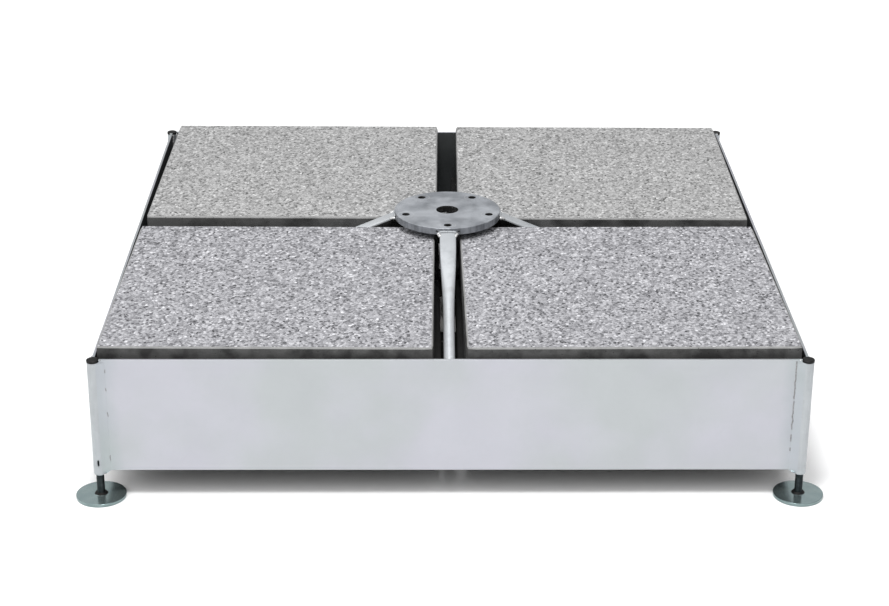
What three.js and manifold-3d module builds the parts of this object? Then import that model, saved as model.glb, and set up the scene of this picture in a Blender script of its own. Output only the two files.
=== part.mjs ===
// Parasol base: a square frame of galvanised sheet steel, ballasted with paving slabs.
// Millimetres, +Z up, origin at the middle of the footprint on the ground. -Y is the front.

import * as THREE from "three";
import { mergeVertices } from "three/addons/utils/BufferGeometryUtils.js";
import Module from "manifold-3d";

const wasm = await Module();
wasm.setup();

// ---------------------------------------------------------------- driving dimensions

const GAP = 0.3;                    // kept between pieces that touch

const FRAME_HALF = 529.5;           // middle of the frame to the centre line of a corner tube
const WALL = { thick: 4, bottom: 44.5, top: 227.5 };

const TUBE = { radius: 9, bore: 7, top: 223.7 };
const VENT = { width: 3.5, height: 9, z: 59.5 };

const BUSH = { radius: 9, bottom: 38, height: 15, chamfer: 1.5 };

const THREAD_RADIUS = 6;            // M12
const SPINDLE = { top: 126, chamfer: 1, keyAcrossFlats: 6, keyDepth: 8 };

const PLATE = { radius: 38, thick: 5, edge: 0.6 };
const COLLAR = { footRadius: 10, topRadius: 8, height: 3 };
const POCKET_DEPTH = 4.5;           // the spindle's seat in the collar

const CAP = { radius: 9.3, thick: 4.2, dome: 0.9, stem: 14, wall: 2 };

const FLANGE = { radius: 90, thick: 12, top: 265, bore: 18.25 };
const BOLTS = { count: 5, radius: 6, circle: 74 };

const ARM = { radius: 9, wall: 2, flatWidth: 27, flatThick: 6.5, slope: 0.43, top: 255 };
const ARM_FLAT_LENGTH = 25;         // fully flattened
const ARM_TAPER_LENGTH = 155;       // from flat to round
const ARM_CROWN = 0.55;             // 1 presses the end to an ellipse, 0 to a rectangle

const SLAB = { side: 500, thick: 50, edge: 3, top: 242 };
const LAYERS = ["bottom", "middle", "top"];

const BEARER = { side: 40, wall: 3, places: [140, 400] };

const FACETS = { arm: 20, small: 28, plate: 56 };    // round a whole circle

// ---------------------------------------------------------------- finishes

const finish = (color, roughness, metalness) =>
  new THREE.MeshStandardMaterial({ color, roughness, metalness });

const sheetZinc = () => finish("#c3c6ca", 0.5, 0.6);
const castZinc = () => finish("#a9adb0", 0.5, 0.6);
const turnedSteel = () => finish("#6f7779", 0.35, 0.9);
const concrete = () => finish("#acaba9", 0.9, 0);
const blackPlastic = () => finish("#2c2d2f", 0.5, 0);

// ---------------------------------------------------------------- geometry helpers

const part = new THREE.Group();
part.name = "parasol_base";

function addMesh(name, geometry, material, parent = part) {
  const mesh = new THREE.Mesh(geometry, material);
  mesh.name = name;
  parent.add(mesh);
  return mesh;
}

// A closed geometry as a solid that can be cut.
function solid(geometry) {
  const bare = geometry.clone();
  bare.deleteAttribute("normal");
  bare.deleteAttribute("uv");
  const merged = mergeVertices(bare, 1e-4);
  const mesh = new wasm.Mesh({
    numProp: 3,
    vertProperties: new Float32Array(merged.attributes.position.array),
    triVerts: new Uint32Array(merged.index.array),
  });
  return new wasm.Manifold(mesh);
}

function fromSolid(manifold) {
  const { vertProperties, triVerts } = manifold.getMesh();
  const geometry = new THREE.BufferGeometry();
  geometry.setAttribute("position", new THREE.BufferAttribute(new Float32Array(vertProperties), 3));
  geometry.setIndex(new THREE.BufferAttribute(new Uint32Array(triVerts), 1));
  geometry.computeVertexNormals();
  return geometry;
}

const cut = (body, ...tools) =>
  fromSolid(tools.reduce((rest, tool) => rest.subtract(solid(tool)), solid(body)));

// A turned piece about Z. The profile is a list of [radius, height].
function turned(profile, segments) {
  const points = profile.map(([r, z]) => new THREE.Vector2(r, z));
  return new THREE.LatheGeometry(points, segments).rotateX(Math.PI / 2);
}

// A ring about Z has a profile that closes on itself.
const ring = (profile, segments) => turned([...profile, profile[0]], segments);

// A flat shape drawn in XY, raised from bottom to top, with its edges bevelled.
function raised(shape, bottom, top, edge = 0) {
  const geometry = new THREE.ExtrudeGeometry(shape, {
    depth: top - bottom - 2 * edge,
    bevelEnabled: edge > 0,
    bevelThickness: edge,
    bevelSize: edge,
    bevelOffset: -edge,
    bevelSegments: 1,
    curveSegments: FACETS.plate / 2,
  });
  return geometry.translate(0, 0, bottom + edge);
}

function rectangle(width, depth, ShapeClass = THREE.Shape) {
  const [x, y] = [width / 2, depth / 2];
  return new ShapeClass([[-x, -y], [x, -y], [x, y], [-x, y]].map(([u, v]) => new THREE.Vector2(u, v)));
}

function circle(radius, x = 0, y = 0, ShapeClass = THREE.Shape) {
  return new ShapeClass().absarc(x, y, radius, 0, 2 * Math.PI, false);
}

// ---------------------------------------------------------------- the four walls

// Each wall stands between two corner tubes, with its middle plane on their centre lines.
const SIDES = [["front", 0], ["right", 90], ["rear", 180], ["left", 270]];

function wall() {
  const length = 2 * (FRAME_HALF - TUBE.radius - GAP);
  return raised(rectangle(length, WALL.thick), WALL.bottom, WALL.top);
}

function onSide(turn) {
  const group = new THREE.Group();
  group.rotation.z = THREE.MathUtils.degToRad(turn);
  part.add(group);
  return group;
}

for (const [side, turn] of SIDES) {
  addMesh(`${side}_wall`, wall(), sheetZinc(), onSide(turn)).position.y = -FRAME_HALF;
}

// ---------------------------------------------------------------- the four corners

// The front left corner is drawn, and turned about the middle for the others.
const CORNERS = [["front_left", 0], ["front_right", 90], ["rear_right", 180], ["rear_left", 270]];

const bushTop = BUSH.bottom + BUSH.height;

function cornerTube() {
  const bottom = bushTop + GAP;
  const tube = ring(
    [[TUBE.bore, bottom], [TUBE.radius, bottom], [TUBE.radius, TUBE.top], [TUBE.bore, TUBE.top]], FACETS.small);
  const vent = new THREE.BoxGeometry(VENT.width, 2 * TUBE.bore, VENT.height);
  return cut(tube, vent.translate(0, -TUBE.radius - TUBE.bore / 2, VENT.z));
}

function threadedBush() {
  const bore = THREAD_RADIUS + GAP;
  const { radius, bottom, chamfer } = BUSH;
  return ring([
    [bore + 0.7, bottom],
    [radius - chamfer, bottom],
    [radius, bottom + chamfer],
    [radius, bushTop],
    [bore, bushTop],
    [bore, bottom + 0.7],
  ], FACETS.small);
}

function footPlate() {
  const { radius, thick, edge } = PLATE;
  const collarTop = thick + COLLAR.height;
  const pocket = THREAD_RADIUS + GAP;
  return turned([
    [0, 0],
    [radius - edge, 0],
    [radius, edge],
    [radius, thick - edge],
    [radius - edge, thick],
    [COLLAR.footRadius, thick],
    [COLLAR.topRadius, collarTop],
    [pocket, collarTop],
    [pocket, collarTop - POCKET_DEPTH],
    [0, collarTop - POCKET_DEPTH],
  ], FACETS.plate);
}

function spindle() {
  const bottom = PLATE.thick + COLLAR.height - POCKET_DEPTH + GAP;
  const rod = turned([
    [0, bottom],
    [THREAD_RADIUS - SPINDLE.chamfer, bottom],
    [THREAD_RADIUS, bottom + SPINDLE.chamfer],
    [THREAD_RADIUS, SPINDLE.top - SPINDLE.chamfer],
    [THREAD_RADIUS - SPINDLE.chamfer, SPINDLE.top],
    [0, SPINDLE.top],
  ], FACETS.small);
  const acrossCorners = SPINDLE.keyAcrossFlats / Math.cos(Math.PI / 6);
  const hexagon = new THREE.CylinderGeometry(acrossCorners / 2, acrossCorners / 2, 2 * SPINDLE.keyDepth, 6);
  return cut(rod, hexagon.rotateX(Math.PI / 2).translate(0, 0, SPINDLE.top));
}

function tubeCap() {
  const bottom = TUBE.top + GAP;
  const stemRadius = TUBE.bore - GAP;
  const edge = CAP.dome;
  return turned([
    [0, bottom + 0.8],
    [stemRadius - CAP.wall, bottom + 0.8],
    [stemRadius - CAP.wall, bottom - CAP.stem],
    [stemRadius - 0.6, bottom - CAP.stem],
    [stemRadius, bottom - CAP.stem + 2],
    [stemRadius, bottom],
    [CAP.radius - 0.3, bottom],
    [CAP.radius, bottom + 0.3],
    [CAP.radius, bottom + CAP.thick - edge],
    [CAP.radius - edge, bottom + CAP.thick],
    [0, bottom + CAP.thick],
  ], FACETS.small);
}

for (const [corner, turn] of CORNERS) {
  const place = new THREE.Group();
  place.position.set(-FRAME_HALF, -FRAME_HALF, 0);
  onSide(turn).add(place);
  addMesh(`${corner}_tube`, cornerTube(), sheetZinc(), place);
  addMesh(`${corner}_bush`, threadedBush(), sheetZinc(), place);
  addMesh(`${corner}_foot_plate`, footPlate(), turnedSteel(), place);
  addMesh(`${corner}_spindle`, spindle(), turnedSteel(), place);
  addMesh(`${corner}_cap`, tubeCap(), blackPlastic(), place);
}

// ---------------------------------------------------------------- the mast flange

function flange() {
  const shape = circle(FLANGE.radius);
  shape.holes.push(circle(FLANGE.bore, 0, 0, THREE.Path));
  for (let i = 0; i < BOLTS.count; i++) {
    const angle = -Math.PI / 2 + (i * 2 * Math.PI) / BOLTS.count;
    const [x, y] = [BOLTS.circle * Math.cos(angle), BOLTS.circle * Math.sin(angle)];
    shape.holes.push(circle(BOLTS.radius, x, y, THREE.Path));
  }
  return raised(shape, FLANGE.top - FLANGE.thick, FLANGE.top);
}

addMesh("mast_flange", flange(), castZinc());

// ---------------------------------------------------------------- the four arms

// An arm is a round tube pressed flat at its upper end. It runs down from the rim of the
// flange to the inner face of a wall. Both of its ends are cut upright.
function arm() {
  const start = FLANGE.radius + GAP;
  const end = FRAME_HALF - WALL.thick / 2 - GAP;
  const section = circle(ARM.radius);
  section.holes.push(circle(ARM.radius - ARM.wall, 0, 0, THREE.Path));
  const geometry = new THREE.ExtrudeGeometry(section, {
    depth: 1, steps: 16, bevelEnabled: false, curveSegments: FACETS.arm / 2,
  });
  const tallness = Math.hypot(1, ARM.slope);      // an upright cut through the sloping tube
  const point = new THREE.Vector3();
  const position = geometry.attributes.position;
  for (let i = 0; i < position.count; i++) {
    point.fromBufferAttribute(position, i);
    const radius = Math.hypot(point.x, point.y);
    const [c, s] = [point.x / radius, point.y / radius];
    const thinner = ARM.radius - radius;
    const along = point.z * (end - start);
    const round = THREE.MathUtils.smoothstep(along, ARM_FLAT_LENGTH, ARM_FLAT_LENGTH + ARM_TAPER_LENGTH);
    const flatX = (ARM.flatWidth / 2 - thinner) * c;
    const flatZ = (ARM.flatThick / 2 - thinner) * Math.sign(s) * Math.abs(s) ** ARM_CROWN;
    const across = THREE.MathUtils.lerp(flatX, point.x, round);
    const above = THREE.MathUtils.lerp(flatZ, point.y, round) * tallness;
    const startHere = Math.sqrt(start ** 2 - across ** 2);
    const out = THREE.MathUtils.lerp(startHere, end, point.z);
    position.setXYZ(i, across, -out, ARM.top - ARM.slope * (out - start) + above);
  }
  geometry.computeVertexNormals();
  return geometry;
}

for (const [side, turn] of SIDES) {
  addMesh(`${side}_arm`, arm(), sheetZinc(), onSide(turn));
}

// ---------------------------------------------------------------- slabs and their bearers

const slabLow = (layer) => SLAB.top - (LAYERS.length - layer) * SLAB.thick - (LAYERS.length - 1 - layer) * GAP;

// Where the middle of each slab lies, from the bottom layer up, and how far it is turned,
// in degrees. They were laid by hand, so they aren't quite square to the frame. The lowest
// lie closest to the arms.
const STACKS = {
  front_left: [[-262.5, -262, 0.1], [-273, -270, -0.2], [-273.5, -269.5, -0.6]],
  front_right: [[263, -262.5, -0.2], [272, -271, 0.2], [271.5, -270, 0.43]],
  rear_right: [[262.5, 262, 0.1], [271, 272, -0.1], [270, 267.5, -0.42]],
  rear_left: [[-262.5, 262.5, -0.1], [-270.5, 272, -0.3], [-265, 274, -0.62]],
};

function slab() {
  return raised(rectangle(SLAB.side, SLAB.side), 0, SLAB.thick, SLAB.edge);
}

for (const [corner, places] of Object.entries(STACKS)) {
  places.forEach(([x, y, turn], layer) => {
    const mesh = addMesh(`${corner}_slab_${LAYERS[layer]}`, slab(), concrete());
    mesh.position.set(x, y, slabLow(layer));
    mesh.rotation.z = THREE.MathUtils.degToRad(turn);
  });
}

// Square tubes between the left and the right wall carry the slabs.
function bearer() {
  const length = 2 * (FRAME_HALF - WALL.thick / 2 - GAP);
  const section = rectangle(BEARER.side, BEARER.side);
  section.holes.push(rectangle(BEARER.side - 2 * BEARER.wall, BEARER.side - 2 * BEARER.wall, THREE.Path));
  return new THREE.ExtrudeGeometry(section, { depth: length, bevelEnabled: false })
    .translate(0, 0, -length / 2)
    .rotateY(Math.PI / 2);
}

const [INNER, OUTER] = BEARER.places;
const BEARERS = [
  ["front_outer", -OUTER], ["front_inner", -INNER], ["rear_inner", INNER], ["rear_outer", OUTER],
];
for (const [name, y] of BEARERS) {
  const z = slabLow(0) - GAP - BEARER.side / 2;
  addMesh(`${name}_bearer`, bearer(), sheetZinc()).position.set(0, y, z);
}

export default part;
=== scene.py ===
# The looks of the parasol base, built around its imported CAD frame.
# Metres, +Z up. -Y is the front and the origin is the middle of the footprint, on the ground.
import math
from math import cos, pi, radians, sin, sqrt

import bmesh
import bpy
from mathutils import Matrix, Vector, noise


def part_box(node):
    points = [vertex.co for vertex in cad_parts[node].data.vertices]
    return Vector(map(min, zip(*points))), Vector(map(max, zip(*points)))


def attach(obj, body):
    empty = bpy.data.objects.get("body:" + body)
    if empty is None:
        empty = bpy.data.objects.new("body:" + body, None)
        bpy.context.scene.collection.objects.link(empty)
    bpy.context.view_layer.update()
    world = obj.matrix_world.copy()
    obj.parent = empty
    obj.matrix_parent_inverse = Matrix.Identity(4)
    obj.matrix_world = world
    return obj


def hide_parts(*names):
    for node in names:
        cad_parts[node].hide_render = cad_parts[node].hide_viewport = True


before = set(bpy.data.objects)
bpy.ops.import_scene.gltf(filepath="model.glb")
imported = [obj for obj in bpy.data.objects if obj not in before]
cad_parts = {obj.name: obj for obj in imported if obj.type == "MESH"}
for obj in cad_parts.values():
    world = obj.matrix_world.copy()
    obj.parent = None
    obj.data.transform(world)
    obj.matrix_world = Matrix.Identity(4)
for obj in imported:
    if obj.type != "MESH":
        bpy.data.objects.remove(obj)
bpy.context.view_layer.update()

MM = 0.001
GAP = 0.3 * MM                       # kept between pieces that touch
scene = bpy.context.scene

# Each corner and side is drawn as the front left corner or the front side, then turned.
CORNERS = {"front_left": 0, "front_right": 90, "rear_right": 180, "rear_left": 270}
CORNER_ORDER = list(CORNERS)
SIDES = {"front": 0, "right": 90, "rear": 180, "left": 270}
LAYERS = ("bottom", "middle", "top")
BEARERS = ("front_outer", "front_inner", "rear_inner", "rear_outer")


class Span:
    """Where a CAD node lies."""

    def __init__(self, node):
        self.low, self.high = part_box(node)
        self.size = self.high - self.low
        self.middle = (self.low + self.high) / 2


def turned_about_z(degrees):
    return Matrix.Rotation(radians(degrees), 4, "Z")


def corner_place(corner):
    """The frame of one corner: its tube's axis is Z, and its two walls run along +X and +Y."""
    middle = Span(f"{corner}_tube").middle
    return Matrix.Translation((middle.x, middle.y, 0)) @ turned_about_z(CORNERS[corner])


# ---------------------------------------------------------------- mesh helpers

def lerp(a, b, t):
    return a + (b - a) * t


def smoothstep(low, high, value):
    t = min(max((value - low) / (high - low), 0), 1)
    return t * t * (3 - 2 * t)


def stations(low, high, longest):
    """Even steps from low to high, none over the longest."""
    count = max(1, math.ceil((high - low) / longest))
    return [lerp(low, high, i / count) for i in range(count + 1)]


def circle_angles(count):
    return [2 * pi * i / count for i in range(count)]


def rounded(corners, radius, steps=3, closed=True):
    """An outline with its corners rounded. An open one keeps its two ends."""
    corners = [Vector(c) for c in corners]
    points = []
    for i, corner in enumerate(corners):
        if not closed and i in (0, len(corners) - 1):
            points.append(corner)
            continue
        before = corners[i - 1] - corner
        after = corners[(i + 1) % len(corners)] - corner
        reach = min(radius, 0.45 * before.length, 0.45 * after.length)
        start = corner + before.normalized() * reach
        end = corner + after.normalized() * reach
        for k in range(steps + 1):
            t = k / steps
            points.append(start * (1 - t) ** 2 + corner * (2 * t * (1 - t)) + end * t ** 2)
    return points


def divided(outline, longest):
    """A closed outline with extra points, so that no stretch is over the longest."""
    points = []
    for here, there in zip(outline, outline[1:] + outline[:1]):
        parts = max(1, math.ceil((there - here).length / longest))
        points += [here.lerp(there, k / parts) for k in range(parts)]
    return points


def rectangle(width, height, middle=(0, 0)):
    """Its four corners, anticlockwise."""
    x, y = width / 2, height / 2
    return [(middle[0] + u, middle[1] + v) for u, v in ((-x, -y), (x, -y), (x, y), (-x, y))]


def bridge(bm, lower, upper, material=0):
    """Faces between two rings of vertices. A ring of one vertex is a tip."""
    count = max(len(lower), len(upper))
    for i in range(count):
        k = (i + 1) % count
        below = [lower[i % len(lower)], lower[k % len(lower)]]
        above = [upper[k % len(upper)], upper[i % len(upper)]]
        face = bm.faces.new(list(dict.fromkeys(below + above)))
        face.material_index = material


def loft(rings, wrap=False):
    """A closed skin over rings of points. Unless it wraps, its ends are capped."""
    bm = bmesh.new()
    rows = [[bm.verts.new(point) for point in ring] for ring in rings]
    for lower, upper in zip(rows, rows[1:] + (rows[:1] if wrap else [])):
        bridge(bm, lower, upper)
    if not wrap:
        bm.faces.new(rows[0])
        bm.faces.new(rows[-1])
    return bm


def lathe(profile, segments, wrap=False):
    """A turned shape about Z. A profile that doesn't wrap starts and ends on the axis."""
    bm = bmesh.new()
    rows = []
    for radius, height in profile:
        if radius < 1e-6:
            rows.append([bm.verts.new((0, 0, height))])
        else:
            ring = [(radius * cos(a), radius * sin(a), height) for a in circle_angles(segments)]
            rows.append([bm.verts.new(point) for point in ring])
    for lower, upper in zip(rows, rows[1:] + (rows[:1] if wrap else [])):
        bridge(bm, lower, upper)
    return bm


def prism(outline, bottom, top):
    """An upright solid over a flat outline."""
    return loft([[(x, y, z) for x, y in outline] for z in (bottom, top)])


def as_object(name, bm, place=Matrix()):
    """An object from a mesh under construction, which is moved to its place and used up."""
    bmesh.ops.recalc_face_normals(bm, faces=bm.faces[:])
    mesh = bpy.data.meshes.new(name)
    bm.to_mesh(mesh)
    bm.free()
    mesh.transform(place)
    obj = bpy.data.objects.new(name, mesh)
    scene.collection.objects.link(obj)
    return obj


def cut(bm, *tools):
    """What is left of a solid when the tools are taken out of it."""
    body = as_object("cut_body", bm)
    cutters = [as_object("cut_tool", tool) for tool in tools]
    for cutter in cutters:
        modifier = body.modifiers.new("cut", "BOOLEAN")
        modifier.operation = "DIFFERENCE"
        modifier.solver = "EXACT"
        modifier.object = cutter
    graph = bpy.context.evaluated_depsgraph_get()
    rest = bmesh.new()
    rest.from_mesh(body.evaluated_get(graph).to_mesh())
    for obj in [body, *cutters]:
        bpy.data.meshes.remove(obj.data)
    return rest


def piece(name, bm, looks, body, nodes=(), place=Matrix(), own_origin=False, sharp=35):
    """Finishes a piece. One with its own origin keeps its looks centred on its own axis."""
    obj = as_object(name, bm, Matrix() if own_origin else place)
    if own_origin:
        obj.matrix_world = place
    for polygon in obj.data.polygons:
        polygon.use_smooth = True
    obj.data.set_sharp_from_angle(angle=radians(sharp))
    for look in looks:
        obj.data.materials.append(look)
    obj.modifiers.new("flat faces stay flat", "WEIGHTED_NORMAL").keep_sharp = True
    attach(obj, body)
    if nodes:
        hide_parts(*nodes)
    return obj


# ---------------------------------------------------------------- shader helpers

def tone(red, green, blue):
    """A colour given as a screen shows it, 0 to 255."""
    def linear(value):
        value /= 255
        return value / 12.92 if value <= 0.04045 else ((value + 0.055) / 1.055) ** 2.4
    return (linear(red), linear(green), linear(blue), 1.0)


def grey(value, warm=0):
    return tone(value + warm, value, value - warm)


class Look:
    """A material: nodes that feed one Principled shader. Lengths are metres of the object."""

    def __init__(self, name, **constants):
        self.material = bpy.data.materials.new(name)
        self.material.use_nodes = True
        self.tree = self.material.node_tree
        self.shader = next(n for n in self.tree.nodes if n.type == "BSDF_PRINCIPLED")
        for socket, value in constants.items():
            self.shader.inputs[socket.replace("_", " ")].default_value = value
        self.place = self.node("TexCoord").outputs["Object"]

    def node(self, kind, inputs=None, **settings):
        node = self.tree.nodes.new("ShaderNode" + kind)
        for key, value in settings.items():
            setattr(node, key, value)
        for key, value in (inputs or {}).items():
            if isinstance(value, bpy.types.NodeSocket):
                self.tree.links.new(value, node.inputs[key])
            else:
                node.inputs[key].default_value = value
        return node

    def stretched(self, scale):
        return self.node("Mapping", {"Vector": self.place, "Scale": scale}).outputs[0]

    def noise(self, size, detail=2.0, stretch=None, roughness=0.5):
        """Cloudy noise from 0 to 1, with clouds of about that size."""
        place = self.stretched(stretch) if stretch else self.place
        inputs = {"Vector": place, "Scale": 1 / size, "Detail": detail, "Roughness": roughness}
        return self.node("TexNoise", inputs).outputs[0]

    def cells(self, size, output="Color", feature="F1"):
        """Irregular cells of about that size."""
        inputs = {"Vector": self.place, "Scale": 1 / size}
        return self.node("TexVoronoi", inputs, feature=feature).outputs[output]

    def ramp(self, factor, *stops, steps=False):
        """A colour for each place on a scale from 0 to 1."""
        node = self.node("ValToRGB", {"Fac": factor})
        node.color_ramp.interpolation = "CONSTANT" if steps else "LINEAR"
        elements = node.color_ramp.elements
        while len(elements) < len(stops):
            elements.new(0.5)
        places, colours = zip(*stops)
        for element, position in zip(elements, places):
            element.position = position
        for element, colour in zip(elements, colours):
            element.color = colour if isinstance(colour, tuple) else (colour, colour, colour, 1.0)
        return node.outputs[0]

    def mix(self, factor, a, b, how="MIX"):
        inputs = {0: factor, 6: a, 7: b}
        return self.node("Mix", inputs, data_type="RGBA", blend_type=how).outputs[2]

    def math(self, how, a, b=0.0):
        return self.node("Math", {0: a, 1: b}, operation=how).outputs[0]

    def vector_math(self, how, a, b=(0, 0, 0), output=0):
        return self.node("VectorMath", {0: a, 1: b}, operation=how).outputs[output]

    def parts(self):
        return self.node("SeparateXYZ", {0: self.place}).outputs

    def bump(self, height, depth, under=None):
        inputs = {"Height": height, "Distance": depth, "Strength": 1.0}
        if under:
            inputs["Normal"] = under
        return self.node("Bump", inputs).outputs[0]

    def done(self, colour, roughness=None, normal=None):
        links = self.tree.links
        links.new(colour, self.shader.inputs["Base Color"])
        if roughness:
            links.new(roughness, self.shader.inputs["Roughness"])
        if normal:
            links.new(normal, self.shader.inputs["Normal"])
        return self.material


# ---------------------------------------------------------------- looks of the metal

HEIGHT_SCALE = 4.0                   # turns heights up to 250 mm into 0 to 1, for a ramp


def zinc_skin(look, light, dark, spangle=0.05, smudge=0.93, patch=0.16):
    """The colour of hot-dip zinc: large faint patches, crystals and small smudges.

    A spangle is how much the crystals differ, a smudge how dark a smudge is, 1 for not at all,
    and a patch how large the patches are.
    """
    patches = look.ramp(look.noise(patch, 3), (0.38, dark), (0.62, light))
    crystals = look.ramp(look.cells(0.011), (0.0, 1.0 - spangle), (1.0, 1.0))
    smudges = look.ramp(look.noise(0.03, 6, roughness=0.62), (0.3, smudge), (0.5, 1.0))
    colour = look.mix(1.0, patches, crystals, "MULTIPLY")
    return look.mix(1.0, colour, smudges, "MULTIPLY")


def zinc_bumps(look, dents=0.25 * MM):
    """Gentle runs of the zinc under a fine grain."""
    runs = look.bump(look.noise(0.05, 2), dents)
    return look.bump(look.noise(0.0012, 3), 0.03 * MM, runs)


SEAM_FROM, SEAM_TO = 0.492, 0.514    # metres from a wall's middle: where the zinc turns dull
SEAM_RAGGED = 0.03                   # how far that line wanders


def wall_zinc():
    """The walls. Next to the welded seams and along the lower edge the zinc is duller."""
    look = Look("wall_zinc", Metallic=0.6)
    colour = zinc_skin(
        look, tone(177, 178, 185), tone(171, 175, 177), spangle=0.015, smudge=0.98)
    x, y, z = look.parts()
    to_seam = look.math("MINIMUM", look.math("ABSOLUTE", x), look.math("ABSOLUTE", y))
    ragged = look.math("MULTIPLY_ADD", look.noise(0.05, 4), SEAM_RAGGED)
    ragged.node.inputs[2].default_value = -SEAM_RAGGED / 2
    near = look.math("ADD", to_seam, ragged)
    seam = look.ramp(near, (SEAM_FROM, 1.0), (SEAM_TO, tone(240, 245, 243)))
    low_edge = look.ramp(look.math("MULTIPLY", z, HEIGHT_SCALE), (0.0, grey(214)), (0.19, 1.0))
    colour = look.mix(1.0, colour, seam, "MULTIPLY")
    colour = look.mix(1.0, colour, low_edge, "MULTIPLY")
    rough = look.ramp(look.noise(0.06, 4), (0.3, 0.40), (0.7, 0.52))
    return look.done(colour, rough, zinc_bumps(look, 0.35 * MM))


def shaded_inner_zinc():
    """The walls' inner faces: dull zinc, darkened as painted shade."""
    look = Look("shaded_inner_zinc", Metallic=0.4, Roughness=0.6)
    colour = zinc_skin(look, tone(74, 77, 78), tone(56, 59, 60))
    return look.done(colour, None, zinc_bumps(look))


def tube_zinc(name, light, dark, metallic):
    """Tubes: the zinc has run along them in streaks."""
    look = Look(name, Metallic=metallic)
    colour = zinc_skin(look, light, dark, spangle=0.06)
    streaks = look.ramp(look.noise(0.006, 4, (1, 1, 0.12)), (0.3, 0.93), (0.6, 1.0))
    colour = look.mix(1.0, colour, streaks, "MULTIPLY")
    rough = look.ramp(look.noise(0.02, 4), (0.3, 0.34), (0.7, 0.50))
    return look.done(colour, rough, zinc_bumps(look, 0.2 * MM))


def arm_zinc():
    """Arms: bright zinc with smudges, with painted shade darkening the pressed upper end."""
    look = Look("arm_zinc", Metallic=0.2)
    colour = zinc_skin(look, tone(240, 244, 248), tone(226, 231, 236), smudge=0.78)
    height = look.math("MULTIPLY", look.parts()[2], HEIGHT_SCALE)
    # Painted shade: darker towards the pressed upper end.
    pressed_end_shade = look.ramp(height, (0.62, 1.0), (0.90, grey(206)), (1.0, grey(178)))
    colour = look.mix(1.0, colour, pressed_end_shade, "MULTIPLY")
    rough = look.ramp(look.noise(0.02, 4), (0.3, 0.34), (0.7, 0.50))
    return look.done(colour, rough, zinc_bumps(look, 0.2 * MM))


WASHER_SCALE = 50.0                  # turns distances up to 20 mm into 0 to 1, for a ramp


def flange_zinc(centres, rim):
    """The flange: a dull plate with fine scratches, rubbed rings where washers sat, a sawn rim."""
    look = Look("flange_zinc", Metallic=0.6)
    colour = zinc_skin(
        look, tone(178, 182, 188), tone(138, 142, 148), spangle=0.10, smudge=0.84, patch=0.045)
    for stretch in ((1, 14, 1), (9, 1.5, 1)):
        lines = look.noise(0.012, 5, stretch, roughness=0.7)
        scratches = look.ramp(lines, (0.62, 0.0), (0.70, 0.35))
        colour = look.mix(scratches, colour, grey(205))
    nearest = 1.0
    for centre in centres:
        away = look.vector_math("DISTANCE", look.place, centre, "Value")
        nearest = look.math("MINIMUM", away, nearest)
    away = look.math("MULTIPLY", nearest, WASHER_SCALE)
    ring = look.ramp(away, (0.60, 0.0), (0.66, 0.5), (0.72, 0.0))
    colour = look.mix(look.mix(1.0, ring, look.noise(0.02, 3), "MULTIPLY"), colour, grey(215))
    flat = look.vector_math("MULTIPLY", look.place, (1, 1, 0))
    out = look.math("DIVIDE", look.vector_math("LENGTH", flat, output="Value"), rim)
    on_rim = look.ramp(out, (0.988, 0.0), (0.996, 1.0))
    sawn = look.ramp(look.noise(0.006, 4, (1, 1, 0.15)), (0.35, grey(190)), (0.62, grey(236)))
    colour = look.mix(on_rim, colour, look.mix(1.0, colour, sawn, "MULTIPLY"))
    rough = look.ramp(look.noise(0.025, 5), (0.3, 0.36), (0.7, 0.54))
    return look.done(colour, rough, zinc_bumps(look, 0.15 * MM))


def hole_and_undercut_shade():
    """Painted shade for the walls of drilled holes and the spots beside the arm welds: rough and dark.
    """
    look = Look("painted_hole_shade", Metallic=0.3, Roughness=0.7)
    colour = look.ramp(look.noise(0.004, 5), (0.50, grey(16)), (0.80, grey(84)))
    return look.done(colour, None, look.bump(look.noise(0.002, 3), 0.2 * MM))


def weld_zinc(name, light, dark):
    """Weld metal under the zinc: lumpy, between two greys."""
    look = Look(name, Metallic=0.6)
    colour = look.ramp(look.noise(0.004, 4), (0.3, grey(dark)), (0.6, grey(light)))
    rough = look.ramp(look.noise(0.003, 3), (0.3, 0.28), (0.7, 0.5))
    return look.done(colour, rough, look.bump(look.noise(0.0015, 4), 0.15 * MM))


TOOL_RINGS = 0.9 * MM                # apart on the foot plates


def turned_steel(name, light, dark):
    """Foot plates: bright turned steel, greenish, with the rings the tool left."""
    look = Look(name, Metallic=0.9)
    flat = look.vector_math("MULTIPLY", look.place, (1, 1, 0))
    out = look.vector_math("LENGTH", flat, output="Value")
    rings = look.math("SINE", look.math("MULTIPLY", out, 2 * pi / TOOL_RINGS))
    haze = look.noise(0.02, 5)
    colour = look.ramp(haze, (0.3, dark), (0.7, light))
    specks = look.ramp(look.noise(0.0025, 4), (0.28, 0.78), (0.36, 1.0))
    colour = look.mix(1.0, colour, specks, "MULTIPLY")
    rough = look.ramp(haze, (0.3, 0.15), (0.7, 0.24))
    return look.done(colour, rough, look.bump(rings, 0.004 * MM))


def rod_painted_reflection():
    """Threaded rods: rolled steel, its base colour darkened as a painted reflection of dark
    surroundings.
    """
    look = Look("rod_painted_reflection", Metallic=0.9)
    colour = look.ramp(look.noise(0.006, 5), (0.3, tone(52, 58, 60)), (0.7, tone(78, 86, 88)))
    rough = look.ramp(look.noise(0.004, 4), (0.3, 0.28), (0.7, 0.44))
    return look.done(colour, rough, look.bump(look.noise(0.001, 3), 0.05 * MM))


def black_plastic():
    """Tube plugs: black moulded plastic, slightly grained and scuffed."""
    look = Look("black_plastic", Specular_IOR_Level=0.2)
    colour = look.ramp(look.noise(0.004, 5), (0.35, grey(14)), (0.75, grey(28)))
    rough = look.ramp(look.noise(0.005, 4), (0.3, 0.34), (0.7, 0.55))
    return look.done(colour, rough, look.bump(look.noise(0.0007, 3), 0.04 * MM))


# ---------------------------------------------------------------- looks of the concrete

STONE = 4.6 * MM                     # a common size of the stone chips
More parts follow.
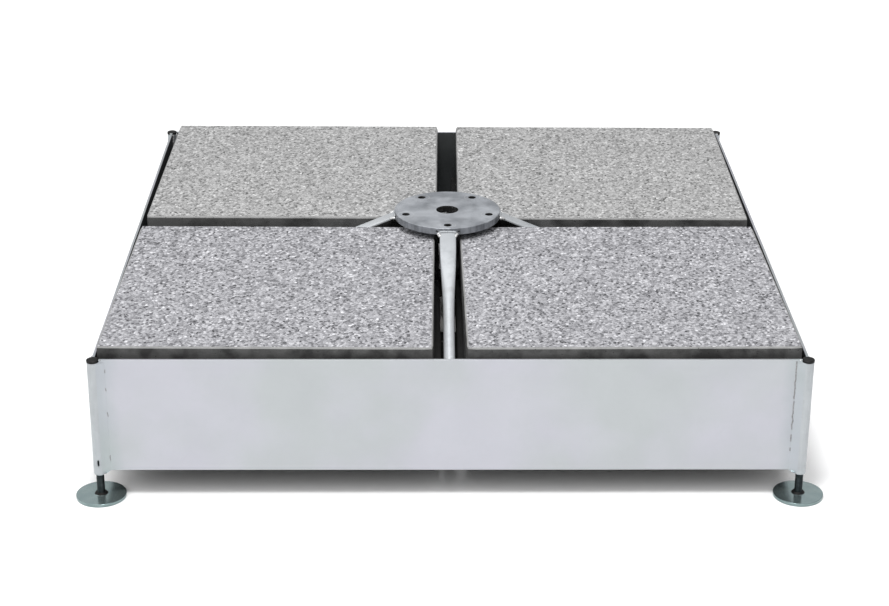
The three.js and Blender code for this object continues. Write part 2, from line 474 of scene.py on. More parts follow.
# How common and how light the stones and the grit are: where each tone starts, and its offset
STONE_TONES = ((0.0, -118), (0.16, -66), (0.30, -26), (0.48, 4), (0.64, 26), (0.80, 52), (0.90, 78))
GRIT_TONES = ((0.0, -90), (0.2, -24), (0.6, 14), (0.85, 60))


def aggregate(name, middle, spread, blue):
    """Washed concrete: stone chips of mixed greys, packed in a cement that sits lower."""
    look = Look(name)

    def shade(value):
        value = max(20, min(250, middle + spread * value))
        return tone(value, value, value + blue)

    stones = look.cells(STONE)
    stone_tones = look.ramp(stones, *[(at, shade(value)) for at, value in STONE_TONES], steps=True)
    grit = look.ramp(
        look.cells(STONE / 2), *[(at, shade(value)) for at, value in GRIT_TONES], steps=True)
    to_edge = look.cells(STONE, "Distance", "DISTANCE_TO_EDGE")
    on_stone = look.ramp(to_edge, (0.02, 0.0), (0.07, 1.0))
    large = look.ramp(look.cells(STONE, "Distance"), (0.45, 1.0), (0.65, 0.5))
    colour = look.mix(look.mix(1.0, on_stone, large, "MULTIPLY"), grit, stone_tones)
    veins = look.ramp(look.noise(0.0016, 3), (0.3, 0.86), (0.6, 1.0))
    weather = look.ramp(look.noise(0.12, 5), (0.3, 0.94), (0.7, 1.0))
    colour = look.mix(1.0, look.mix(1.0, colour, veins, "MULTIPLY"), weather, "MULTIPLY")
    rough = look.ramp(stones, (0.0, 0.55), (1.0, 0.9))
    stones_up = look.bump(to_edge, 1.1 * MM)
    return look.done(colour, rough, look.bump(look.noise(0.0011, 3), 0.25 * MM, stones_up))


def cast_concrete(name, light, dark):
    """Concrete as it came from the mould: fine grain, stains and small blow holes."""
    look = Look(name, Roughness=0.92)
    stains = look.ramp(look.noise(0.04, 6), (0.40, dark), (0.58, light))
    grain = look.ramp(look.noise(0.0013, 3), (0.25, 0.84), (0.65, 1.0))
    holes = look.ramp(look.cells(0.009, "Distance"), (0.07, 0.35), (0.12, 1.0))
    colour = look.mix(1.0, look.mix(1.0, stains, grain, "MULTIPLY"), holes, "MULTIPLY")
    pitted = look.bump(holes, 0.6 * MM)
    return look.done(colour, None, look.bump(look.noise(0.0015, 4), 0.25 * MM, pitted))


# ---------------------------------------------------------------- walls

WALL_EDGE = 0.7 * MM                 # rounding along the sheet's edges
WALL_WAVE = 0.45 * MM                # how far the sheet is out of flat
WALL_STEP = 12 * MM
WALL_HELD = 60 * MM                  # the stretch at each end that the corner keeps flat


def wall(side, looks):
    """Looks are those of the sheet and of its inner face, which carries painted shade."""
    span = Span("front_wall")
    section = rounded(
        rectangle(span.size.y, span.size.z, (span.middle.y, span.middle.z)), WALL_EDGE)
    section = divided(section, WALL_STEP)
    rings = []
    for x in stations(span.low.x, span.high.x, WALL_STEP):
        held = smoothstep(0, WALL_HELD, span.high.x - abs(x))
        ring = []
        for y, z in section:
            wave = noise.noise(Vector((x * 6, z * 8, SIDES[side] + 0.5)))
            ring.append(Vector((x, y + WALL_WAVE * held * wave, z)))
        rings.append(ring)
    bm = loft(rings)
    for face in bm.faces:
        middle = face.calc_center_median()
        inside = middle.y > span.middle.y + 1.2 * MM and middle.z < span.high.z - WALL_EDGE
        face.material_index = 1 if inside else 0
    piece(
        f"{side}_wall_sheet", bm, looks, "frame", [f"{side}_wall"],
        turned_about_z(SIDES[side]))


# ---------------------------------------------------------------- corners

ROUND = 64                           # segments round a tube
EDGE = 0.5 * MM                      # broken edges of turned and sawn pieces

TUBE_WALL = 2 * MM
VENT_WIDTH, VENT_HEIGHT, VENT_Z = 3 * MM, 10.5 * MM, 59.5 * MM

THREAD_RADIUS, THREAD_PITCH = 6 * MM, 1.75 * MM
THREAD_DEPTH = 1.05 * MM
THREAD_SHAPE = ((0, 0), (0.125, 0), (0.44, 1), (0.68, 1))    # part of a pitch, part of the depth
ROD_CHAMFER = 1 * MM
KEY_ACROSS_FLATS, KEY_DEPTH = 6 * MM, 8 * MM
BUSH_CHAMFER, BUSH_LEAD_IN = 1.5 * MM, 0.7 * MM

COLLAR_FOOT, COLLAR_TOP = 10 * MM, 8 * MM
PLATE_THICK = 5 * MM
SOCKET_DEPTH = 4.5 * MM              # how deep the rod stands in the collar

CAP_HEAD = 4.2 * MM
CAP_DOME = 0.9 * MM
STEM_RADIUS, STEM_WALL, STEM_RIB = 6.5 * MM, 1.6 * MM, 0.35 * MM
STEM_RIBS = 8
STEM_TAPER, STEM_TAPER_HEIGHT = 0.5 * MM, 2 * MM


def corner_tube(corner, look):
    """A tube with a vent slot, which lets the zinc run out, near its lower end."""
    span = Span(f"{corner}_tube")
    radius, bore = span.size.x / 2, span.size.x / 2 - TUBE_WALL
    profile = rounded(
        [(bore, span.low.z), (radius, span.low.z), (radius, span.high.z), (bore, span.high.z)], EDGE)
    straight = VENT_HEIGHT / 2 - VENT_WIDTH / 2
    half_turn = [pi * k / 8 for k in range(9)]
    slot = [(VENT_WIDTH / 2 * cos(a), VENT_Z + straight + VENT_WIDTH / 2 * sin(a)) for a in half_turn]
    slot += [(-x, 2 * VENT_Z - z) for x, z in slot]
    vent = loft([[(x, y, z) for x, z in slot] for y in (-2 * radius, -bore / 2)])
    tube = cut(lathe(profile, ROUND, wrap=True), vent)
    piece(
        f"{corner}_post", tube, [look], "frame", [f"{corner}_tube"],
        corner_place(corner))


def corner_bush(corner, look):
    """The nut in the tube's lower end, chamfered below."""
    span = Span(f"{corner}_bush")
    radius, bore = span.size.x / 2, THREAD_RADIUS + GAP
    profile = rounded([
        (bore + BUSH_LEAD_IN, span.low.z), (radius - BUSH_CHAMFER, span.low.z),
        (radius, span.low.z + BUSH_CHAMFER), (radius, span.high.z),
        (bore, span.high.z), (bore, span.low.z + BUSH_LEAD_IN)], 0.4 * MM)
    piece(
        f"{corner}_nut", lathe(profile, ROUND, wrap=True), [look], "frame",
        [f"{corner}_bush"], corner_place(corner))


def foot_plate(corner, looks):
    """Looks are those of the plate, of the collar on it and of its rim."""
    span = Span(f"{corner}_foot_plate")
    radius, top = span.size.x / 2, span.high.z
    pocket, seat = THREAD_RADIUS + GAP, top - SOCKET_DEPTH
    hub = [(0, 0), (radius, 0), (radius, PLATE_THICK), (COLLAR_FOOT, PLATE_THICK)]
    inside = [(COLLAR_TOP, top), (pocket, top), (pocket, seat), (0, seat)]
    bm = lathe(rounded(hub + inside, 0.8 * MM, 4, closed=False), 2 * ROUND)
    for face in bm.faces:
        middle = face.calc_center_median()
        on_collar = middle.z > PLATE_THICK and middle.xy.length < COLLAR_FOOT
        on_rim = middle.xy.length > radius - 0.5 * MM
        face.material_index = 1 if on_collar else 2 if on_rim else 0
    piece(
        f"{corner}_foot_disc", bm, looks, f"{corner}_foot",
        [f"{corner}_foot_plate"], corner_place(corner), own_origin=True)


def thread(bottom, top):
    """A right-hand screw thread: one long spiral strip, cut square at both ends."""
    columns = 32
    turns = math.ceil((top - bottom) / THREAD_PITCH) + 2
    bm = bmesh.new()
    rows = []
    for turn in range(turns):
        for part, deep in THREAD_SHAPE:
            radius = THREAD_RADIUS - THREAD_DEPTH * deep
            row = []
            for i, angle in enumerate(circle_angles(columns)):
                z = bottom + THREAD_PITCH * (turn - 1 + part + i / columns)
                row.append(bm.verts.new((radius * cos(angle), radius * sin(angle), z)))
            rows.append(row)
    last = len(THREAD_SHAPE)
    for k in range(len(rows) - last - 1):
        lower = rows[k] + rows[k + last][:1]
        upper = rows[k + 1] + rows[k + 1 + last][:1]
        for i in range(columns):
            bm.faces.new((lower[i], lower[i + 1], upper[i + 1], upper[i]))
    for height, way in ((bottom, -1), (top, 1)):
        everything = bm.verts[:] + bm.edges[:] + bm.faces[:]
        found = bmesh.ops.bisect_plane(
            bm, geom=everything, plane_co=(0, 0, height), plane_no=(0, 0, way), clear_outer=True)
        rim = [e for e in found["geom_cut"] if isinstance(e, bmesh.types.BMEdge)]
        grown = bmesh.ops.extrude_edge_only(bm, edges=rim)["geom"]
        for vertex in (v for v in grown if isinstance(v, bmesh.types.BMVert)):
            shrink = (THREAD_RADIUS - THREAD_DEPTH - 0.2 * MM) / vertex.co.xy.length
            vertex.co.xy *= shrink
            vertex.co.z += way * ROD_CHAMFER
        end = [e for e in grown if isinstance(e, bmesh.types.BMEdge) and e.is_boundary]
        bmesh.ops.contextual_create(bm, geom=end)
    return bm


def spindle(corner, look):
    """A threaded rod with a hexagon socket in its upper end."""
    span = Span(f"{corner}_spindle")
    across = KEY_ACROSS_FLATS / sqrt(3)
    hexagon = [(across * cos(a), across * sin(a)) for a in circle_angles(6)]
    rod = thread(span.low.z + ROD_CHAMFER, span.high.z - ROD_CHAMFER)
    rod = cut(rod, prism(hexagon, span.high.z - KEY_DEPTH, span.high.z + KEY_DEPTH))
    piece(
        f"{corner}_threaded_rod", rod, [look], f"{corner}_spindle",
        [f"{corner}_spindle"], corner_place(corner), own_origin=True)


def tube_cap(corner, look):
    """A plug with a slightly domed head and a hollow stem with eight ribs."""
    span = Span(f"{corner}_cap")
    radius, top = span.size.x / 2, span.high.z
    under = top - CAP_HEAD
    bore = STEM_RADIUS - STEM_WALL
    profile = [
        (0, under + 0.8 * MM), (bore, under + 0.8 * MM), (bore, span.low.z),
        (STEM_RADIUS - STEM_TAPER, span.low.z), (STEM_RADIUS, span.low.z + STEM_TAPER_HEIGHT),
        (STEM_RADIUS, under - 1 * MM), (STEM_RADIUS, under), (radius, under),
        (radius, top - CAP_DOME), (radius - 1.2 * MM, top - 0.15 * MM), (0, top)]
    bm = lathe(rounded(profile, 0.45 * MM, closed=False), ROUND)
    for vertex in bm.verts:
        on_stem = vertex.co.z < under - 0.5 * MM and vertex.co.xy.length > STEM_RADIUS - 0.6 * MM
        if on_stem and cos(STEM_RIBS * math.atan2(vertex.co.y, vertex.co.x)) > 0.3:
            vertex.co.xy *= 1 + STEM_RIB / STEM_RADIUS
    piece(
        f"{corner}_plug", bm, [look], f"{corner}_cap", [f"{corner}_cap"],
        corner_place(corner), own_origin=True)


# ---------------------------------------------------------------- the mast flange

BOLT_COUNT, BOLT_RADIUS, BOLT_CIRCLE = 5, 6 * MM, 74 * MM
BORE_RADIUS = 18.25 * MM
HOLE_CHAMFER = 0.7 * MM
bolt_places = [
    (BOLT_CIRCLE * cos(a - pi / 2), BOLT_CIRCLE * sin(a - pi / 2)) for a in circle_angles(BOLT_COUNT)]


def drill(radius, bottom, top, x, y):
    """The shape of a hole with both its edges broken."""
    flare = radius + HOLE_CHAMFER + 1 * MM
    profile = [
        (0, bottom - 1 * MM), (flare, bottom - 1 * MM), (radius, bottom + HOLE_CHAMFER),
        (radius, top - HOLE_CHAMFER), (flare, top + 1 * MM), (0, top + 1 * MM)]
    bm = lathe(profile, 40)
    bmesh.ops.translate(bm, verts=bm.verts[:], vec=(x, y, 0))
    return bm


def mast_flange(looks):
    """Looks are those of the plate and of the walls of its holes, the latter darkened as painted
    shade.
    """
    span = Span("mast_flange")
    radius, bottom, top = span.size.x / 2, span.low.z, span.high.z
    profile = rounded(
        [(BORE_RADIUS, bottom), (radius, bottom), (radius, top), (BORE_RADIUS, top)], 1.3 * MM, 4)
    bolts = [drill(BOLT_RADIUS, bottom, top, x, y) for x, y in bolt_places]
    plate = cut(lathe(profile, 3 * ROUND, wrap=True), *bolts)
    for face in plate.faces:
        middle = face.calc_center_median()
        upright = abs(face.normal.z) < 0.9
        face.material_index = 1 if upright and middle.xy.length < radius - 2 * MM else 0
    piece("mast_plate", plate, looks, "frame", ["mast_flange"])


# ---------------------------------------------------------------- the arms

ARM_RADIUS, ARM_WALL = 9 * MM, 2 * MM
ARM_FLAT_WIDTH, ARM_FLAT_THICK = 27 * MM, 6.5 * MM
ARM_CROWN = 0.55                     # 1 presses the end to an ellipse, 0 to a rectangle
ARM_SLOPE = 0.43
ARM_FLAT_LENGTH, ARM_TAPER_LENGTH = 25 * MM, 155 * MM
ARM_TALLNESS = math.hypot(1, ARM_SLOPE)
ARM_TOP = Span("mast_flange").high.z - 10 * MM
ARM_START = Span("mast_flange").high.x + GAP
ARM_END = Span("right_wall").low.x - GAP
ARM_STEP = 8 * MM
ARM_SEGMENTS = 36                    # round an arm
ARM_UNEVEN = 0.18 * MM


def arm_point(t, angle, thinner=0.0):
    """A point on the skin of the front arm, t of the way out, at an angle round its section."""
    along = t * (ARM_END - ARM_START)
    roundness = smoothstep(ARM_FLAT_LENGTH, ARM_FLAT_LENGTH + ARM_TAPER_LENGTH, along)
    c, s = cos(angle), sin(angle)
    flat_across = (ARM_FLAT_WIDTH / 2 - thinner) * c
    flat_above = (ARM_FLAT_THICK / 2 - thinner) * math.copysign(abs(s) ** ARM_CROWN, s)
    across = lerp(flat_across, (ARM_RADIUS - thinner) * c, roundness)
    above = lerp(flat_above, (ARM_RADIUS - thinner) * s, roundness) * ARM_TALLNESS
    out = lerp(sqrt(ARM_START ** 2 - across ** 2), ARM_END, t)
    return Vector((across, -out, ARM_TOP - ARM_SLOPE * (out - ARM_START) + above))


def arm(side, look):
    """A tube pressed flat at its upper end, slightly uneven all over."""
    angles = [a + pi / (2 * ARM_SEGMENTS) for a in circle_angles(ARM_SEGMENTS)]
    steps = stations(0, 1, ARM_STEP / (ARM_END - ARM_START))
    outside = [[arm_point(t, a) for a in angles] for t in steps]
    inside = [[arm_point(t, a, ARM_WALL) for a in angles] for t in reversed(steps)]
    bm = loft(outside + inside, wrap=True)
    for vertex in bm.verts:
        seed = vertex.co * 22 + Vector((0, 0, SIDES[side]))
        vertex.co.z += ARM_UNEVEN * noise.noise(seed)
    piece(
        f"{side}_strut", bm, [look], "frame", [f"{side}_arm"],
        turned_about_z(SIDES[side]))


# ---------------------------------------------------------------- weld beads

BEAD_STEP = 0.8 * MM
BEAD_RIPPLE = 2.6 * MM


def spaced(path, step):
    """Points along a path, a step apart."""
    points = [path[0]]
    for here, there in zip(path, path[1:]):
        parts = max(1, round((there - here).length / step))
        points += [here.lerp(there, k / parts) for k in range(1, parts + 1)]
    return points


def add_bead(bm, path, radius, closed=False, material=1):
    """A rope of weld metal along a path, in ripples, with tapered ends unless it is closed."""
    path = [Vector(p) for p in path]
    points = spaced(path + path[:1] if closed else path, BEAD_STEP)
    if closed:
        points.pop()
    count = len(points)
    normal = (points[1] - points[0]).orthogonal().normalized()
    rows = []
    for i, point in enumerate(points):
        ahead = points[(i + 1) % count] if closed or i + 1 < count else point
        behind = points[i - 1] if closed or i > 0 else point
        tangent = (ahead - behind).normalized()
        normal = (normal - tangent * normal.dot(tangent)).normalized()
        side = tangent.cross(normal)
        far = i * BEAD_STEP
        size = radius * (1 + 0.13 * sin(2 * pi * far / BEAD_RIPPLE) + 0.3 * noise.noise(point * 300))
        if not closed:
            to_end = min(i, count - 1 - i) * BEAD_STEP
            size *= sqrt(max(0.06, 1 - (1 - min(1, to_end / radius)) ** 2))
        ring = [point + (normal * cos(a) + side * sin(a)) * size for a in circle_angles(10)]
        rows.append([bm.verts.new(p) for p in ring])
    for lower, upper in zip(rows, rows[1:] + (rows[:1] if closed else [])):
        bridge(bm, lower, upper, material)
    if not closed:
        for end in (rows[0], rows[-1]):
            bm.faces.new(end).material_index = material


FILLET_REACH = 8.5 * MM              # how far the broad corner weld runs out over the wall
FILLET_ANGLE = 55                    # where it meets the tube, degrees from the wall
FILLET_STEP = 1.5 * MM
FILLET_LEAD = 7 * MM                 # how far below the wall it starts to grow outwards
TOE_RADIUS = 0.7 * MM
# Where the weld's toe shows, in mm above the ground. The front right weld is the roughest.
TOE_HEIGHTS = ((60, 70), (134, 142), (176, 182), (206, 212))
LONG_TOE_HEIGHTS = ((76, 82), (92, 104), (112, 160), (163, 225))
TOE_WANDER = 1.6 * MM
INNER_BEAD, TACK_BEAD, BUSH_BEAD = 1.8 * MM, 1.5 * MM, 0.7 * MM      # radii
ARM_BEAD, ARM_UNDER_BEAD, ARM_FOOT_BEAD = 2.2 * MM, 1.8 * MM, 2.0 * MM
# The last radius is that of the dark bead of painted shade beside each upper blob.
ARM_BLOBS, ARM_SHADE_SPOT = (2.3 * MM, 2.9 * MM), 1.4 * MM


def fillet_section(z, radius, half, tube_top, wall_low):
    """The broad corner weld at a height: (along the wall, across it) round its outline."""
    toe = radius + FILLET_REACH * smoothstep(wall_low - FILLET_LEAD, wall_low + 1 * MM, z)
    toe += 0.5 * MM * noise.noise(Vector((0, 0, z * 90)))
    above = smoothstep(tube_top - 1 * MM, tube_top + 0.5 * MM, z)
    turn = -radians(FILLET_ANGLE)
    crest = Vector((radius * cos(turn), radius * sin(turn)))
    crest = crest.lerp(Vector((radius + 1 * MM, -half - 1.2 * MM)), above)
    inner = Vector((0.9 * radius * cos(turn), 0.9 * radius * sin(turn)))
    inner = inner.lerp(Vector((radius + 1 * MM, -half)), above)
    edge = Vector((max(toe, radius + 1.2 * MM), -half - 0.05 * MM))
    face = []
    for k in range(1, 6):
        lump = 0.22 * MM * noise.noise(Vector((k, radius * 500, z * 160)))
        sag = 0.5 * MM * sin(pi * k / 6)
        face.append(edge.lerp(crest, k / 6) + Vector((-sag, sag + lump)))
    return [edge, *face, crest, inner, Vector((radius + 0.8 * MM, -half + 0.8 * MM))]


def corner_welds(corner, looks):
    """The welds of a corner. Looks: the smooth broad welds, the beads and the dark toes."""
    tube, bush = Span(f"{corner}_tube"), Span(f"{corner}_bush")
    sheet = Span("front_wall")
    radius, half = tube.size.x / 2, sheet.size.y / 2
    heights = stations(bush.low.z + 1 * MM, sheet.high.z - 0.6 * MM, FILLET_STEP)
    bm = bmesh.new()
    for swap in (False, True):
        def at(along, across, z):
            return (across, along, z) if swap else (along, across, z)
        rows = []
        for z in heights:
            section = fillet_section(z, radius, half, tube.high.z, sheet.low.z)
            rows.append([bm.verts.new(at(u, v, z)) for u, v in section])
        for lower, upper in zip(rows, rows[1:]):
            bridge(bm, lower, upper)
        bm.faces.new(rows[0])
        bm.faces.new(rows[-1])
        rough_one = corner == "front_right" and swap
        for low, high in (LONG_TOE_HEIGHTS if rough_one else TOE_HEIGHTS):
            path = []
            for z in stations(low * MM, high * MM, 3 * MM):
                wander = TOE_WANDER * noise.noise(Vector((0, z * 130, radius)))
                path.append(at(radius + FILLET_REACH + wander, -half, z))
            add_bead(bm, path, TOE_RADIUS * (1.3 if rough_one else 1), material=2)
        inner = [at(radius, half + 0.3 * MM, z) for z in (sheet.low.z + 4 * MM, sheet.high.z - 3 * MM)]
        add_bead(bm, inner, INNER_BEAD)
        top = sheet.high.z - 0.6 * MM
        tack = [at(radius + 1.6 * MM, -half, top), at(radius + 4 * MM, -half, top)]
        add_bead(bm, tack, TACK_BEAD, material=2 if corner == "front_left" else 1)
    around = radius - 0.6 * MM
    joint = [(around * cos(a), around * sin(a), bush.high.z) for a in circle_angles(36)]
    add_bead(bm, joint, BUSH_BEAD, closed=True, material=0)
    piece(
        f"{corner}_welds", bm, looks, "frame", place=corner_place(corner), sharp=80)


def arm_welds(side, looks):
    """A bead round each end of an arm, with a blob each side of the upper one and a dark bead of
    painted shade beside each blob.

    Looks are those of the bead over the arm, of the other beads and of the painted shade beside the
    blobs.
    """
    bm = bmesh.new()
    over = [arm_point(0, pi * k / 16) + Vector((0, 0.2 * MM, 0.3 * MM)) for k in range(17)]
    add_bead(bm, over, ARM_BEAD, material=0)
    under = [arm_point(0, pi + pi * k / 16) - Vector((0, 0, 0.3 * MM)) for k in range(17)]
    add_bead(bm, under, ARM_UNDER_BEAD)
    for end, way, thick in zip((over[0], over[-1]), (1, -1), ARM_BLOBS):
        blob = [(way * 3.0, 1, 0), (way, -3, -1), (-way, -9, -3)]
        add_bead(bm, [end + MM * Vector(offset) for offset in blob], thick)
        # A dark bead of painted shade beside the blob.
        shade_spot = end + Vector((way * 2.5 * MM, 0.6 * MM, 3.2 * MM))
        outwards = Vector((way * 4.5 * MM, 0.8 * MM, 1.0 * MM))
        add_bead(bm, [shade_spot, shade_spot + outwards], ARM_SHADE_SPOT, material=2)
    foot = [arm_point(1, a) + Vector((0, -0.2 * MM, 0)) for a in circle_angles(24)]
    add_bead(bm, foot, ARM_FOOT_BEAD, closed=True)
    piece(
        f"{side}_arm_welds", bm, looks, "frame",
        place=turned_about_z(SIDES[side]), sharp=80)


# ---------------------------------------------------------------- bearers

BEARER_WALL = 3 * MM
BEARER_ROUNDING, BEARER_INNER_ROUNDING = 5 * MM, 2.5 * MM
BEARER_BEAD = 1.8 * MM


def bearer(name, look):
    """A square tube that carries the slabs."""
    span = Span(f"{name}_bearer")
    middle = (span.middle.y, span.middle.z)
    side = span.size.y
    bore = side - 2 * BEARER_WALL
    outer = rounded(rectangle(side, side, middle), BEARER_ROUNDING, 5)
    inner = rounded(rectangle(bore, bore, middle), BEARER_INNER_ROUNDING, 5)
    places = stations(span.low.x, span.high.x, 40 * MM)
    rings = [[(x, y, z) for y, z in outer] for x in places]
    rings += [[(x, y, z) for y, z in inner] for x in reversed(places)]
    piece(
        f"{name}_box_tube", loft(rings, wrap=True), [look], "frame",
        [f"{name}_bearer"])


def bearer_welds(looks):
    """A bead on each upright side of each bearer's ends."""
    bm = bmesh.new()
    for name in BEARERS:
        span = Span(f"{name}_bearer")
        for x in (span.low.x, span.high.x):
            for y in (span.low.y, span.high.y):
                ends = [(x, y, span.low.z + BEARER_ROUNDING), (x, y, span.high.z - BEARER_ROUNDING)]
                add_bead(bm, ends, BEARER_BEAD)
    piece("bearer_welds", bm, looks, "frame", sharp=80)


# ---------------------------------------------------------------- paving slabs

SLAB_EDGE = 3 * MM
TOP_CELLS, HIDDEN_CELLS = 230, 60    # squares along a side of a slab's mesh
RELIEF = 0.8 * MM                    # how deep the cement lies between the stones
CEMENT_SHARE = 0.35                  # how wide the cement between stones is, in stones
SLAB_BORDER = 5 * MM                 # the relief fades out over this band
SIDE_STEP, SIDE_ROUGHNESS = 7 * MM, 0.35 * MM
CORNER_WEAR = 14 * MM                # how far from a slab's corner it is worn


def slab_turn(node, middle):
    """How far a slab is turned about Z, from where its corners lie."""
    corners = (v.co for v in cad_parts[node].data.vertices)
    far = max(corners, key=lambda co: (co - middle).xy.length) - middle
    return math.degrees(math.atan2(far.y, far.x)) % 90 - 45


def stone_height(x, y, seed):
    """The washed face's height: about 0 on the highest stones, -1 deep between stones."""
    near, second = noise.voronoi(Vector((x / STONE, y / STONE, seed)))[0][:2]
    gap = min(1, (second - near) / CEMENT_SHARE)
    tilt = 0.35 * noise.noise(Vector((x / STONE / 2, y / STONE / 2, seed + 7)))
    return -1 + gap * (0.75 + tilt)


def slab_mesh(side, thick, cells, seed):
    """A slab centred on Z with its base at 0: a washed face, a smooth chamfer and cast sides."""
    half = side / 2 - SLAB_EDGE
    bm = bmesh.new()
    lines = [lerp(-half, half, i / cells) for i in range(cells + 1)]
    grid = []
    for y in lines:
        row = []
        for x in lines:
            inside = smoothstep(0, SLAB_BORDER, half - max(abs(x), abs(y)))
            low = RELIEF * stone_height(x, y, seed) * inside if inside > 0 else 0
            row.append(bm.verts.new((x, y, thick + low)))
        grid.append(row)
    for j in range(cells):
        for i in range(cells):
            bm.faces.new((grid[j][i], grid[j][i + 1], grid[j + 1][i + 1], grid[j + 1][i]))
    rim = grid[0][:-1] + [row[-1] for row in grid[:-1]]
    rim += grid[-1][:0:-1] + [row[0] for row in grid[:0:-1]]
    flat = [vertex.co.copy() for vertex in rim]
    heights = stations(SLAB_EDGE, thick - SLAB_EDGE - 0.6 * MM, SIDE_STEP)
    # Downwards from the face: how far in from the side, the height and the look.
    steps = [(1.2 * MM, thick - 0.9 * MM, 1), (0.3 * MM, thick - 2.4 * MM, 1)]
    steps += [(0, z, 2) for z in reversed(heights)]
    steps += [(SLAB_EDGE, 0, 2)]
    upper = rim
    for inset, z, material in steps:
        grow = (side / 2 - inset) / half
        lower = []
        for at in flat:
            rough = 1 + 0.5 * noise.noise(Vector((at.x * 60, at.y * 60, z * 60 + seed)))
            bite = SIDE_ROUGHNESS * rough + corner_wear(at, half, seed)
            keep = grow * (1 - bite / half)
            lower.append(bm.verts.new((at.x * keep, at.y * keep, z)))
        bridge(bm, upper, lower, material)
        upper = lower
    bm.faces.new(upper).material_index = 2
    return bm


def corner_wear(at, half, seed):
    """How much is worn off near a slab's corners."""
    away = math.hypot(half - abs(at.x), half - abs(at.y))
    near = 1 - smoothstep(0, CORNER_WEAR, away)
    return near * MM * (1.2 + noise.noise(Vector((at.x * 9, at.y * 9, seed))))


def slabs(corners, layers, looks):
    """Slabs of some corners and layers. Looks: the washed face, its chamfer and the sides."""
    for corner in corners:
        for layer in layers:
            node = f"{corner}_slab_{layer}"
            span = Span(node)
            turn = slab_turn(node, span.middle)
            side = span.size.x / (cos(radians(turn)) + abs(sin(radians(turn))))
            cells = TOP_CELLS if layer == "top" else HIDDEN_CELLS
            seed = 10 * CORNER_ORDER.index(corner) + LAYERS.index(layer)
            base = Matrix.Translation((span.middle.x, span.middle.y, span.low.z))
            piece(
                f"{corner}_paver_{layer}", slab_mesh(side, span.size.z, cells, seed),
                looks, "frame", [node], base @ turned_about_z(turn), sharp=60)


# ---------------------------------------------------------------- the object

# The walls' inner faces are darkened as painted shade.
walls_look, shaded_inner_look = wall_zinc(), shaded_inner_zinc()
posts_look = tube_zinc("post_zinc", tone(171, 175, 178), tone(165, 170, 173), 0.6)
arms_look = arm_zinc()
# The bearers are coloured nearly black as painted shade.
shaded_bearers_look = tube_zinc("shaded_bearer_zinc", grey(30), grey(22), 0.3)
welds_look, toes_look = weld_zinc("weld_zinc", 222, 160), weld_zinc("weld_toe", 148, 116)
# Painted shade: dark for the flange's hole walls and beside the arm welds.
painted_shade_look = hole_and_undercut_shade()
feet_look = turned_steel("turned_steel", tone(182, 200, 200), tone(166, 186, 188))
foot_rims_look = turned_steel("turned_rim", tone(130, 146, 146), tone(114, 130, 130))
# The rods' dark tones are a painted reflection of dark surroundings.
rods_painted_reflection_look, plugs_look = rod_painted_reflection(), black_plastic()
flange_span = Span("mast_flange")
flange_look = flange_zinc(
    [(x, y, flange_span.high.z) for x, y in bolt_places], flange_span.high.x)

for side in SIDES:
    wall(side, [walls_look, shaded_inner_look])
    arm(side, arms_look)
    arm_welds(side, [arms_look, welds_look, painted_shade_look])
for corner in CORNERS:
    corner_tube(corner, posts_look)
    corner_bush(corner, posts_look)
    foot_plate(corner, [feet_look, plugs_look, foot_rims_look])
    spindle(corner, rods_painted_reflection_look)
    tube_cap(corner, plugs_look)
    corner_welds(corner, [walls_look, welds_look, toes_look])
mast_flange([flange_look, painted_shade_look])
for name in BEARERS:
    bearer(name, shaded_bearers_look)
bearer_welds([shaded_bearers_look, shaded_bearers_look])
border = cast_concrete("slab_border", grey(142), grey(126))
# The slabs' sides: dark backing concrete, darkened further as painted shade.
side_and_shade_look = cast_concrete("slab_side_and_shade", grey(80), grey(44))
# The middle and bottom slabs are near black as painted shade.
shaded_slab_look = cast_concrete("shaded_hidden_slab", grey(26), grey(18))
front_washed = aggregate("washed_aggregate", 151, 0.84, 4)
rear_washed = aggregate("pale_washed_aggregate", 157, 0.66, 0)
slabs(CORNER_ORDER[:2], ["top"], [front_washed, border, side_and_shade_look])
slabs(CORNER_ORDER[2:], ["top"], [rear_washed, border, side_and_shade_look])
slabs(CORNER_ORDER, ["middle", "bottom"], [shaded_slab_look, shaded_slab_look, shaded_slab_look])


# ---------------------------------------------------------------- floor, light and camera

FLOOR_RINGS = (0.5, 2, 8, 30, 90)    # radii, in metres


def floor():
    """A wide pale floor with a faint grain, just under the feet."""
    look = Look("studio_floor", Roughness=0.9)
    colour = look.ramp(look.noise(0.4, 3), (0.3, grey(249)), (0.7, grey(252)))
    rings = [
        [(r * cos(a), r * sin(a), -GAP) for a in circle_angles(64)] for r in FLOOR_RINGS]
    bm = bmesh.new()
    rows = [[bm.verts.new(p) for p in ring] for ring in rings]
    for lower, upper in zip(rows, rows[1:]):
        bridge(bm, lower, upper)
    bm.faces.new(rows[0])
    obj = as_object("studio_floor", bm)
    obj.data.materials.append(look.done(colour))


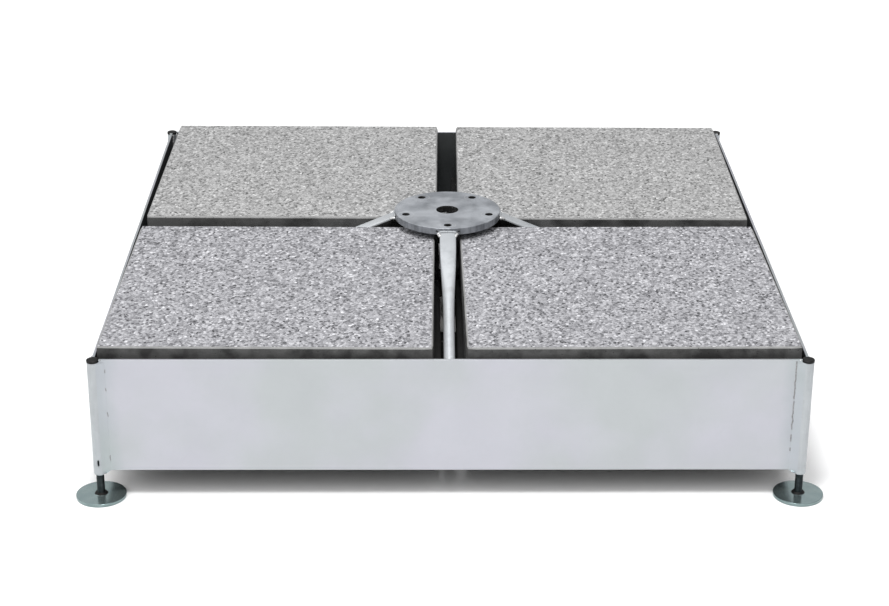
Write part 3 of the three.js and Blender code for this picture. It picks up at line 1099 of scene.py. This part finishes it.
def aimed(name, data, place, aim):
    """A light at a place, turned to shine at another."""
    obj = bpy.data.objects.new(name, data)
    obj.location = place
    obj.rotation_euler = (Vector(aim) - Vector(place)).to_track_quat("-Z", "Y").to_euler()
    scene.collection.objects.link(obj)


SKY_STRENGTH = 0.5
WIDE_PLACE, WIDE_STRENGTH, WIDE_SPREAD = (-1.6, -1.2, 4.0), 2.2, 100      # degrees across
BOX_PLACE, BOX_SIZE, BOX_POWER = (-0.15, -1.3, 3.0), 0.7, 52              # metres, watts


def studio():
    """A pale sky, a wide soft light from the left, and a softbox above and in front."""
    world = bpy.data.worlds.new("studio")
    scene.world = world
    world.use_nodes = True
    sky = world.node_tree.nodes["Background"]
    sky.inputs["Color"].default_value = (1, 1, 1, 1)
    sky.inputs["Strength"].default_value = SKY_STRENGTH
    wide = bpy.data.lights.new("wide_light", "SUN")
    wide.energy, wide.angle = WIDE_STRENGTH, radians(WIDE_SPREAD)
    aimed("wide_light", wide, WIDE_PLACE, (0, 0, 0))
    box = bpy.data.lights.new("softbox", "AREA")
    box.shape, box.size, box.energy = "DISK", BOX_SIZE, BOX_POWER
    aimed("softbox", box, BOX_PLACE, (0, -0.1, 0.2))
    scene.view_settings.view_transform = "Standard"


CAMERA_PLACE = (-0.0429, -3.3051, 1.5057)
CAMERA_PITCH, CAMERA_YAW, CAMERA_ROLL = 23.164, 0.675, 0.266      # degrees down, right, rolled
CAMERA_LENS = 83.7                   # in mm, on Blender's usual sensor


def camera():
    data = bpy.data.cameras.new("camera")
    data.lens = CAMERA_LENS
    data.clip_start, data.clip_end = 0.05, 100
    obj = bpy.data.objects.new("camera", data)
    turn = Matrix.Rotation(-radians(CAMERA_YAW), 4, "Z")
    tip = Matrix.Rotation(radians(90 - CAMERA_PITCH), 4, "X")
    roll = Matrix.Rotation(radians(CAMERA_ROLL), 4, "Z")
    obj.matrix_world = Matrix.Translation(CAMERA_PLACE) @ turn @ tip @ roll
    scene.collection.objects.link(obj)
    scene.camera = obj


floor()
studio()
camera()
